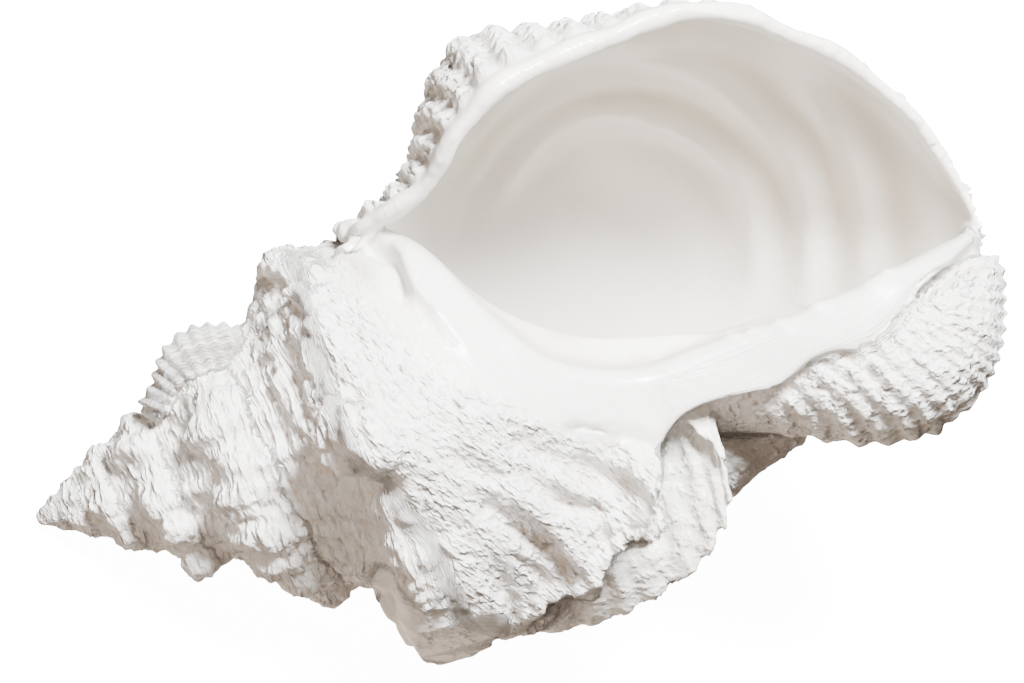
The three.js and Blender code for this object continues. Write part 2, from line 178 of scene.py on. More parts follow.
# Pointed knobs of the spire: rise, radius, tip (along, p) and how far the knob runs back.
SPIRE_KNOBS = [
    (3.6, 4.2, (47.5, 8.5), (12, 3)), (4.4, 5.0, (50.5, -8), (12, 2)),
    (2.6, 2.6, (59.6, 13), (7, 0)), (2.8, 3.0, (62.5, -1.5), (8, 1)),
    (3.4, 4.2, (32.5, -4), (8.5, -1)), (3.2, 4.0, (27.5, 9.2), (8.5, 0)),
    (3.2, 3.8, (35.2, -11.5), (8, -3)), (2.4, 3.2, (19.6, -1.6), (7, -1)),
    (2.4, 3.2, (23.4, -10.6), (7, -3)), (4.0, 4.2, (38, -20.5), (5, 1)),
    (3.4, 4.4, (54, -24.5), (10, 0)), (2.1, 2.8, (20.3, 10.2), (6, 0)),
    (1.5, 2.0, (13.5, 7.3), (5, -1)), (1.6, 2.2, (14, 2), (5, -1)),
    (1.4, 2.0, (14.6, -5.2), (5, -2)), (2.6, 3.6, (33, 18.6), (7, 0)),
    (3.0, 4.2, (49.8, -16), (10, -2)), (1.3, 1.7, (9, 3), (3.5, 0)),
    (1.2, 1.6, (9.5, -2), (3.5, -1)), (2.2, 2.6, (42, -3), (6, 0)),
    (2.2, 2.6, (43.5, -13), (6, -1))]

# Terraces round the bowl of the mouth: their centre (along, p), then radius, width and rise.
BOWL_CENTRE = (155, 25)
TERRACES = [(33, 3.5, 2), (46, 4, 2.2), (59, 4, 1.4)]
# Centre of the arcs in which shade is painted round the bowl.
BANDS_CENTRE = (152, 22)

# The shield is the glazed front of the body whorl: where it starts, and where it is smooth,
# as (p, along) points. Both are measured across the mouth's side.
SHIELD_FROM = [(-60, 92), (-30, 90), (-10, 80), (10, 76), (45, 76)]
SMOOTH_FROM = [(-40, 150), (-30, 150), (-15, 136), (-5, 122), (5, 104), (15, 97), (25, 92), (40, 84)]

# What each point of a sheet keeps; the skin says which sheet it belongs to.
MARKS = ("turn", "place", "inside", "skin")
WHORLS, LAST_WHORL, WINGS, FAN, GLAZE, COMB = range(6)

ONE_BODY_VOXEL = .8 * MM
MOST_TRIANGLES = 190000

# The chalk's own tone, and the warm dark tone it is painted towards as shade in its hollows.
CHALK, CHALK_IN_PAINTED_SHADE = (.87, .865, .85, 1), (.7, .555, .42, 1)
# The mouth's porcelain painted pale where it lies deep in the bowl, painted dark as shade under the
# lip, and the inner lip's own glaze.
PAINTED_LIGHT_DEEP_IN_BOWL, SHADE_BELOW_LIP_COLOUR, GLAZED = (.94, .915, .87, 1), (.5, .445, .36, 1), (.875, .86, .835, 1)

# Lying at rest: upwards in the shell's own frame, and where its tip then is in millimetres.
UP = Vector((.5171, .3377, .7864)).normalized()
TIP_AT = Vector((-104.385, -10.688, .337))

# The view onto the mouth's side, in the shell's own frame: its upward way, middle and lens.
VIEW_UP = Vector((.2672, .9636, 0))
VIEW_MIDDLE = Vector((122.9, 10.0, 0))
VIEW_LENS = 147.8


# ---- one arithmetic for arrays and one for node sockets ----
class Arrays:
    """Curves and shapes worked out on numpy arrays."""

    def curve(self, values, t):
        values = np.asarray(values, float)
        place = np.clip(t, 0, 1) * (len(values) - 1)
        i = np.minimum(np.floor(place).astype(int), len(values) - 2)
        w = place - i
        p, q = values[np.maximum(i - 1, 0)], values[i]
        r, s = values[i + 1], values[np.minimum(i + 2, len(values) - 1)]
        v0, v1 = (r - p) / 2, (s - q) / 2
        return ((2*q - 2*r + v0 + v1) * w**3 + (-3*q + 3*r - 2*v0 - v1) * w**2 + v0 * w + q)

    def ease(self, x, low, high):
        t = np.clip((x - low) / (high - low), 0, 1)
        return t * t * (3 - 2 * t)

    exp, sin, cos, nearest = (staticmethod(f) for f in (np.exp, np.sin, np.cos, np.round))


class Socket:
    """A node's output; arithmetic on it adds Math nodes."""

    def __init__(self, maker, output):
        self.maker = maker
        self.output = output

    def __add__(self, other):
        return self.maker.maths("ADD", self, other)

    def __sub__(self, other):
        return self.maker.maths("SUBTRACT", self, other)

    def __rsub__(self, other):
        return self.maker.maths("SUBTRACT", other, self)

    def __mul__(self, other):
        return self.maker.maths("MULTIPLY", self, other)

    def __truediv__(self, other):
        return self.maker.maths("DIVIDE", self, other)

    def __rtruediv__(self, other):
        return self.maker.maths("DIVIDE", other, self)

    def __pow__(self, other):
        return self.maker.maths("POWER", self, other)

    def __rpow__(self, other):
        return self.maker.maths("POWER", other, self)

    def __neg__(self):
        return self.maker.maths("MULTIPLY", self, -1)

    __radd__ = __add__
    __rmul__ = __mul__


class Maker:
    """Adds nodes to one tree; has the same curves and shapes as Arrays."""

    def __init__(self, tree):
        self.tree = tree

    def node(self, kind, settings=None, sockets=None):
        made = self.tree.nodes.new(kind)
        for name, value in (settings or {}).items():
            setattr(made, name, value)
        for name, value in (sockets or {}).items():
            if isinstance(value, Socket):
                self.tree.links.new(value.output, made.inputs[name])
            else:
                made.inputs[name].default_value = value
        return made

    def out(self, kind, settings=None, sockets=None, output=0):
        return Socket(self, self.node(kind, settings, sockets).outputs[output])

    def maths(self, operation, *values):
        return self.out("ShaderNodeMath", {"operation": operation}, dict(enumerate(values)))

    def curve(self, values, t):
        low, high = min(values) - 1, max(values) + 1
        made = self.node("ShaderNodeFloatCurve", None, {"Value": t})
        points = made.mapping.curves[0].points
        made.mapping.use_clip = False
        for i, value in enumerate(values):
            x, y = i / (len(values) - 1), (value - low) / (high - low)
            if i == 0:
                points[0].location = (x, y)
            elif i == len(values) - 1:
                points[len(points) - 1].location = (x, y)
            else:
                points.new(x, y)
        made.mapping.update()
        return Socket(self, made.outputs[0]) * (high - low) + low

    def ease(self, x, low, high):
        settings = {"interpolation_type": "SMOOTHSTEP"}
        sockets = {"Value": x, "From Min": low, "From Max": high}
        if low > high:
            sockets.update({"From Min": high, "From Max": low, "To Min": 1.0, "To Max": 0.0})
        return self.out("ShaderNodeMapRange", settings, sockets)

    def exp(self, x):
        return self.maths("EXPONENT", x)

    def sin(self, x):
        return self.maths("SINE", x)

    def cos(self, x):
        return self.maths("COSINE", x)

    def nearest(self, x):
        return self.maths("ROUND", x)

    def vector(self, x, y, z):
        return self.out("ShaderNodeCombineXYZ", None, {"X": x, "Y": y, "Z": z})

    def split(self, vector):
        parts = self.node("ShaderNodeSeparateXYZ", None, {"Vector": vector})
        return [Socket(self, output) for output in parts.outputs]

    def vectors(self, operation, *values, output=0):
        values = dict(enumerate(values))
        return self.out("ShaderNodeVectorMath", {"operation": operation}, values, output)


def bell(kit, x, centre, width):
    share = (x - centre) / width
    return kit.exp(-(share * share))


def blend(a, b, share):
    return a + (b - a) * share


# ---- the growing whorl ----
def growth(turn):
    return WHORL_GROWTH ** ((turn - FULL_SIZE_TURN) / 360)


def knob_height(kit, turn, t):
    height = 0
    for centre, where, tall, wide, deep in KNOBS:
        row = bell(kit, t, where, deep) + .35 * bell(kit, t, where + .21, .07)
        height = height + tall * bell(kit, turn, centre, wide) * row
    where, tall, wide, deep = SPIRE_KNOB
    first = KNOBS[-1][0] - SPIRE_KNOB_GAP
    count = kit.nearest((turn - first) / SPIRE_KNOB_GAP)
    offset = turn - first - count * SPIRE_KNOB_GAP
    row = bell(kit, t, where, deep) + .35 * bell(kit, t, where + .21, .07)
    spire = bell(kit, offset, 0, wide) * row * tall * (1 - kit.ease(turn, first + 8, first + 24))
    return (height + spire) * growth(turn)


def whorl(kit, turn, t):
    """(along, out) of the whorl's outside; t runs from the suture to the canal."""
    size = growth(turn)
    mature = kit.ease(turn, 60, 220)
    young = [kit.curve([row[k] for row in SPIRE_OUTLINE], t) for k in (0, 1)]
    old = [kit.curve([row[k] for row in LAST_OUTLINE], t) for k in (0, 1)]
    reach = kit.ease(turn, 60, 130) * kit.ease(t, .5, .85) * .85
    scale = blend(size, 1, reach)
    along = blend(young[0], old[0], mature) * scale
    tuck = kit.ease(turn, -175, -130) * (1 - kit.ease(turn, -62, -30)) * kit.ease(t, .6, .82) * .75
    out = blend(young[1], old[1], mature) * scale * (1 - tuck)
    return along, out + knob_height(kit, turn, t)


def axis_frame(kit, along, out, turn):
    """Cylinder coordinates to x, y, z; turn 0 is on the mouth's side."""
    angle = turn * (math.pi / 180)
    return along, -(out * kit.sin(angle)), out * kit.cos(angle)


# ---- Geometry Nodes: a closed wall that grows along the turn ----
def new_tree(name, inputs):
    tree = bpy.data.node_groups.new(name, "GeometryNodeTree")
    tree.interface.new_socket(name="Geometry", in_out="INPUT", socket_type="NodeSocketGeometry")
    for label, kind, value in inputs:
        socket = tree.interface.new_socket(name=label, in_out="INPUT", socket_type=kind)
        if value is not None:
            socket.default_value = value
    tree.interface.new_socket(name="Geometry", in_out="OUTPUT", socket_type="NodeSocketGeometry")
    maker = Maker(tree)
    entry = tree.nodes.new("NodeGroupInput")
    given = {socket.name: Socket(maker, socket) for socket in entry.outputs if socket.name}
    return tree, maker, given


def finish_tree(maker, geometry, material):
    realized = maker.out("GeometryNodeRealizeInstances", None, {"Geometry": geometry})
    painted = maker.out("GeometryNodeSetMaterial", None,
                        {"Geometry": realized, "Material": material})
    leave = maker.tree.nodes.new("NodeGroupOutput")
    maker.tree.links.new(painted.output, leave.inputs[0])


def run_tree(mesh_object, tree, values):
    """Puts the tree on the object as a modifier and gives it its inputs."""
    modifier = mesh_object.modifiers.new(tree.name, "NODES")
    modifier.node_group = tree
    for item in tree.interface.items_tree:
        if item.item_type == "SOCKET" and item.in_out == "INPUT" and item.name in values:
            modifier[item.identifier] = values[item.name]


def applied(mesh_object, name):
    """The evaluated mesh, with the modifiers taken off the object."""
    graph = bpy.context.evaluated_depsgraph_get()
    mesh = bpy.data.meshes.new_from_object(mesh_object.evaluated_get(graph))
    mesh.name = name
    mesh_object.modifiers.clear()
    return mesh


def growing_wall_tree(name, wall_point):
    """Grid of turns by places, bent into a closed wall of growing whorls."""
    tree, maker, given = new_tree(name, [
        ("Turns", "NodeSocketInt", 100), ("Places", "NodeSocketInt", 100),
        ("First turn", "NodeSocketFloat", 0.0), ("Last turn", "NodeSocketFloat", 90.0),
        ("Wall", "NodeSocketFloat", 3.0), ("Skin", "NodeSocketFloat", 0.0),
        ("Material", "NodeSocketMaterial", None)])
    grid = maker.out("GeometryNodeMeshGrid", None, {
        "Size X": 1.0, "Size Y": 1.0,
        "Vertices X": given["Turns"], "Vertices Y": given["Places"]})
    x, y, _ = maker.split(maker.out("GeometryNodeInputPosition"))
    s = x + .5
    w = y + .5
    place = 1 - maker.maths("ABSOLUTE", w * 2 - 1)
    beyond = maker.maths("GREATER_THAN", w, .5001) * maker.maths("LESS_THAN", w, .9999)
    ends = maker.maths("LESS_THAN", s, .0001) + maker.maths("GREATER_THAN", s, .9999)
    inside = maker.maths("MINIMUM", beyond + ends, 1)
    along, out, turn = wall_point(maker, s, place, inside, given)
    point = axis_frame(maker, along * MM, out * MM, turn)
    marks = (("turn", turn), ("place", place), ("inside", inside), ("skin", given["Skin"]))
    for label, value in marks:
        grid = maker.out("GeometryNodeStoreNamedAttribute",
                         {"data_type": "FLOAT", "domain": "POINT"},
                         {"Geometry": grid, "Name": label, "Value": value})
    bent = maker.out("GeometryNodeSetPosition", None,
                     {"Geometry": grid, "Position": maker.vector(*point)})
    closed = maker.out("GeometryNodeMergeByDistance", None, {"Geometry": bent, "Distance": 1e-6})
    finish_tree(maker, closed, given["Material"])
    return tree


def spire_point(kit, s, place, inside, given):
    turn = blend(given["First turn"], given["Last turn"], s)
    along, out = whorl(kit, turn, place)
    return along, blend(out, along * .008, inside), turn


def lip_point(kit, s, place, inside, given):
    """The last whorl's wall: its end is the lip's edge, which flares out."""
    s = kit.maths("MINIMUM", s * 1.004, 1)
    edge = kit.curve(LIP_TURN, place)
    turn = blend(given["First turn"], edge, s)
    along, out = whorl(kit, turn, place)
    near = kit.ease(turn - edge, -75, 10) ** 1.7
    out = out + kit.curve(LIP_FLARE, place) * near
    return along, out - inside * given["Wall"], turn


# ---- mesh code: closed pieces between two facing grids of points ----
def value_of(mesh, label):
    values = np.empty(len(mesh.vertices), np.float32)
    mesh.attributes[label].data.foreach_get("value", values)
    return values


def keep_value(mesh, label, values):
    mark = mesh.attributes.get(label) or mesh.attributes.new(label, "FLOAT", "POINT")
    mark.data.foreach_set("value", np.ascontiguousarray(values, np.float32))


def columns_of(table, t):
    """Each column of a table as a smooth curve, read at t."""
    return [ARRAYS.curve(column, t) for column in zip(*table)]


def closed_piece(name, outer, inner, turn=None, place=None, skin=GLAZE):
    """outer and inner are (rows, columns, 3) in millimetres."""
    rows, columns = outer.shape[:2]
    count = rows * columns
    points = np.concatenate([outer.reshape(-1, 3), inner.reshape(-1, 3)]) * MM
    at = np.arange(2 * count).reshape(2, rows, columns)
    top, under = at
    quads = [np.stack(corners, -1).reshape(-1, 4) for corners in (
        [top[:-1, :-1], top[:-1, 1:], top[1:, 1:], top[1:, :-1]],
        [under[:-1, :-1], under[1:, :-1], under[1:, 1:], under[:-1, 1:]])]
    for a, b in ((top[:, 0], under[:, 0]), (under[:, -1], top[:, -1]),
                 (under[0], top[0]), (top[-1], under[-1])):
        quads.append(np.stack([a[:-1], a[1:], b[1:], b[:-1]], -1))
    mesh = bpy.data.meshes.new(name)
    mesh.from_pydata(points.tolist(), [], np.concatenate(quads).tolist())
    none = np.zeros((rows, columns))
    keep_value(mesh, "turn", np.tile((none if turn is None else turn).reshape(-1), 2))
    keep_value(mesh, "place", np.tile((none if place is None else place).reshape(-1), 2))
    keep_value(mesh, "inside", np.zeros(2 * count))
    keep_value(mesh, "skin", np.full(2 * count, skin))
    mesh.update()
    return bpy.data.objects.new(name, mesh)


ARRAYS = Arrays()


def stack(x, y, z):
    return np.stack(np.broadcast_arrays(x, y, z), -1)


def place_at(turn, along):
    """The place on the whorl whose distance along the axis is the one asked for."""
    tries = np.linspace(0, 1, 201)
    reached = whorl(ARRAYS, turn[:, None], tries[None, :])[0]
    return tries[np.abs(reached - along[:, None]).argmin(1)]


def wing(name, edge, root_gap, thickness, sharpness):
    """A sheet that leaves the whorl and flares out to an edge."""
    v = np.linspace(0, 1, 240)
    along, out, turn = columns_of(edge, v)
    root_turn = turn - root_gap
    root_t = place_at(root_turn, along)
    root_along, root_out = whorl(ARRAYS, root_turn, root_t)
    s = np.linspace(0, 1, 60)[:, None]

    def face(depth):
        thin = depth * (1 - .25 * s)
        r = blend(root_out - 2, out, s ** sharpness) - thin
        t = blend(root_turn, turn, s)
        return stack(*axis_frame(ARRAYS, blend(root_along, along, s), r, t))

    return closed_piece(name, face(0), face(thickness), v + 0 * s, s + 0 * v, WINGS)


def inner_lip():
    u = np.linspace(0, 1, 200)
    along, p_in, z_in, p_out, z_out = columns_of(INNER_LIP, u)
    wide = p_in - p_out
    dip = .06 * wide
    sunk = 7 * (1 - ARRAYS.ease(along, 144, 152))
    top = [(p_in + .8, z_in - 15), (p_in + 1, z_in - 7), (p_in, z_in - 1.6), (p_in - 1.6, z_in),
           (p_in - .4 * wide, blend(z_in, z_out, .4) - dip),
           (p_in - .75 * wide, blend(z_in, z_out, .75) - dip), (p_out, z_out)]
    under = [(p_in - 2.4, z_in - 15.4), (p_in - 4, z_in - 13), (p_in - 4.5, z_in - 11),
             (p_in - 5, z_in - 9), (p_in - .45 * wide, blend(z_in, z_out, .4) - dip - 6 - sunk),
             (p_in - .75 * wide, blend(z_in, z_out, .75) - dip - 4 - sunk),
             (p_out + .8, z_out - 2.6 - sunk)]
    across = np.linspace(0, 1, 50)

    def face(rows):
        rows = np.array(rows)
        p = np.stack([ARRAYS.curve(rows[:, 0, k], across) for k in range(len(u))])
        z = np.stack([ARRAYS.curve(rows[:, 1, k], across) for k in range(len(u))])
        return stack(along[:, None], p, z)

    return closed_piece("inner_lip", face(top), face(under), None, across + 0 * u[:, None])


def fan():
    turn = np.linspace(*FAN_TURNS, 150)[:, None]
    u = np.linspace(0, 1, 120)
    along, out = columns_of(FAN_OUTLINE, u)
    size = (.5 + .5 * ARRAYS.ease(turn, -10, 60)) * (1 - .4 * ARRAYS.ease(turn, 95, 172))
    outer = stack(*axis_frame(ARRAYS, along, out * size, turn))
    inner = stack(*axis_frame(ARRAYS, blend(along, 200, .1), 1, turn))
    return closed_piece("fan", outer, inner, turn + 0 * u, u + 0 * turn, FAN)


def comb():
    """The ribbed remains of an earlier lip, standing on the spire."""
    v = np.linspace(0, 1, 140)[:, None]
    s = np.linspace(0, 1, 30)
    along, p = (blend(*pair, s) for pair in zip(columns_of(COMB_BASE, v), columns_of(COMB_CREST, v)))
    z = blend(COMB_Z[0], COMB_Z[1], s) - 6 * (v - .45) ** 2
    outer = stack(along, p, z + 2.6 * np.sin(math.pi * s ** 1.4) ** .7)
    inner = stack(along, p, z - 4.5 * (1 - .3 * s))
    return closed_piece("comb", outer, inner, v + 0 * s, s + 0 * v, COMB)


def pillar():
    turn = np.linspace(0, 360, 60)[:, None]
    u = np.linspace(0, 1, 80)
    along, out = (np.interp(u, np.linspace(0, 1, len(PILLAR)), column) for column in zip(*PILLAR))
    outer = stack(*axis_frame(ARRAYS, along, out, turn)) + (0, PILLAR_SHIFT, 0)
    inner = stack(*axis_frame(ARRAYS, along, 0, turn)) + (0, PILLAR_SHIFT, 0)
    return closed_piece("pillar", outer, inner)


def grown_wall(name, tree, rows, places, first, last, skin):
    wall = bpy.data.objects.new(name, bpy.data.meshes.new(name))
    bpy.context.collection.objects.link(wall)
    run_tree(wall, tree, {"Turns": rows, "Places": places, "First turn": float(first),
                          "Last turn": float(last), "Wall": LIP_WALL, "Skin": float(skin)})
    grown = bpy.data.objects.new(name, applied(wall, name))
    bpy.data.objects.remove(wall)
    return grown


# ---- the shell's own frame in the row frame ----
east = (Vector((1, 0, 0)) - UP * UP.x).normalized()
north = UP.cross(east)
turned = Matrix((east, north, UP))
to_row = Matrix.Translation(TIP_AT * MM) @ turned.to_4x4()

spire_tree = growing_wall_tree("grown_whorls", spire_point)
lip_tree = growing_wall_tree("last_whorl", lip_point)
sheets = [
    grown_wall("whorls", spire_tree, 1700, 200, SPIRE_START, BODY_END, WHORLS),
    grown_wall("last_whorl", lip_tree, 260, 360, WALL_START, max(LIP_TURN), LAST_WHORL),
    wing("old_lip", OLD_LIP_EDGE, 34, 5.2, 1.7),
    wing("ridge", RIDGE_EDGE, 50, 7, 1.5),
    inner_lip(), fan(), comb(), pillar()]
for sheet in sheets:
    bpy.context.collection.objects.link(sheet)
    sheet.data.transform(to_row)


def points_of(mesh):
    """The mesh's points in the row frame, and in millimetres in the shell's own frame."""
    points = np.empty(len(mesh.vertices) * 3)
    mesh.vertices.foreach_get("co", points)
    points = points.reshape(-1, 3)
    return points, (points / MM - np.array(TIP_AT)) @ np.array(turned)


def lobes_on(mesh):
    """Chains of balls sunk into the surface that is seen from the mouth's side."""
    own = points_of(mesh)[1]
    tree = BVHTree.FromPolygons(own.tolist(), [tuple(face.vertices) for face in mesh.polygons])
    ball = bmesh.new()
    bmesh.ops.create_icosphere(ball, subdivisions=3, radius=1)
    corners = np.array([vertex.co for vertex in ball.verts])
    sides = np.array([[vertex.index for vertex in face.verts] for face in ball.faces])
    ball.free()
    all_points, all_sides = [], []
    chains = [(rise, radius, path, 0) for rise, radius, path in LOBES]
    for rise, radius, tip, back in SPIRE_KNOBS:
        chains.append((rise, radius, [tip, np.add(tip, back)], 1))
    for rise, radius, path, sinks in chains:
        path = np.array(path, float)
        length = np.linalg.norm(np.diff(path, axis=0), axis=1).sum()
        for v in np.linspace(0, 1, max(2, int(length / (.35 * radius)) + 1)):
            x, y = columns_of(path, v)
            hit = tree.ray_cast(Vector((x, y, 120)), Vector((0, 0, -1)))[0]
            if hit is None:
                continue
            taper = 1 - .2 * v if sinks else 1 - .22 * (2 * v - 1) ** 2
            sunk = .9 * v * sinks
            middle = np.array((x, y, hit.z + rise * (1 - sunk) * taper - radius * taper))
            all_sides.append(sides + len(all_points) * len(corners))
            all_points.append(corners * radius * taper + middle)
    made = bpy.data.meshes.new("lobes")
    all_points, all_sides = np.concatenate(all_points) * MM, np.concatenate(all_sides)
    made.from_pydata(all_points.tolist(), [], all_sides.tolist())
    made.transform(to_row)
    for label in MARKS:
        keep_value(made, label, np.zeros(len(made.vertices)))
    return bpy.data.objects.new("lobes", made)


def joined_objects(objects, name):
    with bpy.context.temp_override(active_object=objects[0], selected_editable_objects=objects):
        bpy.ops.object.join()
    objects[0].name = name
    return objects[0]


joined = joined_objects(sheets, "sheets")
bodies = [bpy.data.objects.new("bodies", joined.data.copy()), lobes_on(joined.data)]
for body in bodies:
    bpy.context.collection.objects.link(body)
with_lobes = joined_objects(bodies, "sheets_and_lobes")


# ---- one body, and the relief carved into it with Geometry Nodes ----
class Carver(Maker):
    """Adds the nodes that read, blur and store what each point of the shell is."""

    def kept(self, sheets, label):
        named = self.stored(label)
        return self.out("GeometryNodeSampleNearestSurface", {"data_type": "FLOAT"}, {
            "Mesh": sheets, "Value": named,
            "Sample Position": self.out("GeometryNodeInputPosition")})

    def stored(self, label):
        return self.out("GeometryNodeInputNamedAttribute", {"data_type": "FLOAT"}, {"Name": label})

    def soft(self, value, times, kind="FLOAT"):
        return self.out("GeometryNodeBlurAttribute", {"data_type": kind},
                        {"Value": value, "Iterations": times})

    def store(self, geometry, label, value, kind="FLOAT"):
        return self.out("GeometryNodeStoreNamedAttribute", {"data_type": kind, "domain": "POINT"},
                        {"Geometry": geometry, "Name": label, "Value": value})

    def placed(self, geometry, position):
        return self.out("GeometryNodeSetPosition", None,
                        {"Geometry": geometry, "Position": position})

    def pushed(self, geometry, millimetres):
        """Moves the surface outwards along its normal."""
        step = self.scaled(self.out("GeometryNodeInputNormal"), millimetres * MM)
        return self.out("GeometryNodeSetPosition", None, {"Geometry": geometry, "Offset": step})

    def scaled(self, vector, factor):
        return self.out("ShaderNodeVectorMath", {"operation": "SCALE"},
                        {0: vector, "Scale": factor})

    def mixed(self, a, b, share):
        return self.out("ShaderNodeMix", {"data_type": "VECTOR"}, {0: share, 4: a, 5: b}, 1)

    def tones(self, a, b, share):
        return self.out("ShaderNodeMix", {"data_type": "RGBA"}, {0: share, 6: a, 7: b}, 2)

    def noise(self, where, scale, detail=2.0):
        return self.out("ShaderNodeTexNoise", {"noise_dimensions": "3D"}, {
            "Vector": where, "Scale": scale, "Detail": detail, "Roughness": .55}) - .5

    def between(self, value, low, high):
        return self.maths("GREATER_THAN", value, low) * self.maths("LESS_THAN", value, high)

    def own_frame(self, position):
        """(along, p, z) of a position, in millimetres in the shell's own frame."""
        moved = self.vectors("SUBTRACT", position, TIP_AT * MM)
        return [self.vectors("DOT_PRODUCT", moved, Vector(column) * METRE, output=1)
                for column in turned.col]

    def away(self, along, p, centre):
        return ((along - centre[0]) ** 2 + (p - centre[1]) ** 2) ** .5

    def wave(self, phase):
        """0 to 1 and back once for each whole step of phase."""
        return self.cos(phase * (2 * math.pi)) * .5 + .5


def new_carver(name, inputs):
    tree, _, given = new_tree(name, inputs)
    carver = Carver(tree)
    return tree, carver, {key: Socket(carver, value.output) for key, value in given.items()}


def beside_the_post(make, along, p):
    """1 on the bare stretch under the inner lip, where the former lip reaches the canal."""
    here = make.ease(along, 154, 158) * (1 - make.ease(along, 174, 184))
    return here * (1 - make.ease(p, -9, -5))


def marks_tree(name):
    """Gives the joined body the marks of the sheet nearest to each point, and smooths it."""
    tree, make, given = new_carver(name, [
        ("Sheets", "NodeSocketObject", None), ("Material", "NodeSocketMaterial", None)])
    info = make.node("GeometryNodeObjectInfo", {"transform_space": "ORIGINAL"},
                     {"Object": given["Sheets"]})
    grown = Socket(make, info.outputs["Geometry"])
    geometry = given["Geometry"]
    for label in MARKS:
        geometry = make.store(geometry, label, make.kept(grown, label))
    turn, place, inside, skin = (make.stored(label) for label in MARKS)
    covered = make.between(skin, -1, .5) * make.between(turn, -2000, -40)
    covered = covered * make.ease(place, .5, .56)

    def on_sheet(number):
        return make.between(skin, number - .5, number + .5)

    for label, value, times in (
            ("wings", on_sheet(WINGS), 4), ("fans", on_sheet(FAN), 5), ("glaze", on_sheet(GLAZE), 5),
            ("combs", on_sheet(COMB), 2), ("mouth", on_sheet(LAST_WHORL) * inside, 4)):
        geometry = make.store(geometry, label, make.soft(value, times))
    # The glaze of the inner lip runs out over the body without a step.
    wide = make.stored("spread")
    position = make.out("GeometryNodeInputPosition")
    geometry = make.store(geometry, "spread", make.soft(make.stored("glaze"), 30))
    along, p, _ = make.own_frame(position)
    away_from_rim = make.ease(make.curve(LIP_TURN, place) - turn, 14, 30)
    bowl = (make.stored("mouth") * away_from_rim + covered) * make.ease(along, 108, 118)
    flow = make.maths("MINIMUM", wide * 2.2 + bowl, 1)
    post = beside_the_post(make, along, p)
    spire = (1 - make.ease(along, 58, 72)) * make.ease(p, -60, -40) * .6
    calm = make.maths("MAXIMUM", make.maths("MAXIMUM", post, make.stored("wings") * .5), spire)
    geometry = make.placed(geometry, make.mixed(make.mixed(
        make.soft(position, 2, "FLOAT_VECTOR"), make.soft(position, 9, "FLOAT_VECTOR"), calm),
        make.soft(position, 40, "FLOAT_VECTOR"), flow))
    finish_tree(make, geometry, given["Material"])
    return tree


def whorl_relief(make, turn, place, at, drift, fine, wrinkle):
    """Cords of overlapping beads run along the whorl; slack growth ridges cross them."""
    dorsal = make.ease(turn, 185, 215)
    row = place * 22 + drift * .9
    whole = make.nearest(row)
    cord = make.wave(row - whole)
    shift = make.sin(whole * 7.3) * 3
    step = turn / 3.7 + shift + fine * 1.1
    saw = step - make.maths("FLOOR", step)
    bead = make.maths("POWER", make.maths("MAXIMUM", saw * (1 - saw) * 4, 0), .6)
    ridge = make.wave(turn / 13 + drift * 1.5)
    bead = blend(bead, make.wave(turn / 6.4 + shift * .6 + drift * .3), dorsal)
    cords = (cord ** .75) * (.42 + bead * .58) * blend(.6 + ridge * .5, .95, dorsal)
    crumple = make.noise(at, .16, 2)
    strong = .5 + .35 * make.ease(turn, 120, 190) + dorsal * .6
    facets = make.noise(at, .32, 2)
    outer = (cords * 2.2 - 1.1 + dorsal * .7) * strong + ridge * .6
    outer = (outer + crumple * (3.0 - dorsal * 2.7)) * growth(turn)
    return outer + wrinkle * (1.4 - dorsal * 1.3) + facets * (1 - dorsal) * 2.6


def shield_relief(make, own, smooth):
    """The shield beside the mouth wrinkles aslant and smooths towards the inner lip."""
    along, p, z = own
    across = along * .73 + p * .68
    down = along * .68 - p * .73
    folds = make.noise(make.vector(across / 1.5, down / 5, z / 6), 1.0, 3)
    hills = make.noise(make.vector(across / 4.5, down / 14, z / 16), 1.0, 2)
    return (folds * 1.8 + hills * 1.6) * (1 - smooth) + hills * smooth * .5


def wing_relief(make, turn, place, drift, fine, wrinkle):
    """Ribs run out to a wing's edge; layers lie along it."""
    ribs = make.wave(turn * 17 + drift * 1.5)
    layers = make.wave(place * 7 + fine * 1.5)
    return (ribs * .9 * make.ease(place, .3, .8) + layers * .12 * make.ease(place, .6, .9)
            + wrinkle * .7 - .3) * (1 - make.ease(turn, .8, .9))


def fan_relief(make, turn, own, at, drift, fine, wrinkle):
    """Fine ribs spread from the fan's root, coarse beaded ones slant, ridges follow its edge."""
    along, p, _ = own
    spread = make.maths("ARCTAN2", p - 5, along - 199) * (180 / math.pi)
    thin = make.wave(spread / 4.6 + fine * .35)
    aslant = along * .839 + p * .545
    down = along * .68 - p * .73
    thick = make.wave(aslant / 4.7 + fine * .5) * (.7 + .5 * make.wave(down / 4.2 + fine))
    low_fan = 1 - make.ease(spread + drift * 24, -66, -48)
    edge_ridges = make.wave(turn / 13) * make.ease(turn, 50, 70) * (1 - make.ease(turn, 112, 130))
    thick = thick * (.75 + make.noise(at, .09, 2) * 1.6)
    ribs = blend(thin * 1.1, thick * 1.5, low_fan) + edge_ridges * .9 - .8 + wrinkle * .6
    return ribs * (1 - beside_the_post(make, along, p))


def bowl_relief(make, own, at):
    """Broad terraces go round the bowl, on the side away from the inner lip."""
    along, p, _ = own
    upper = make.ease(along * .5 + p * .87, 86, 112)
    radius = make.away(along, p, BOWL_CENTRE) + make.noise(at, .02, 1) * 9
    terraces = sum(bell(make, radius, *size_of) * rise for *size_of, rise in TERRACES) - .3
    return terraces * upper


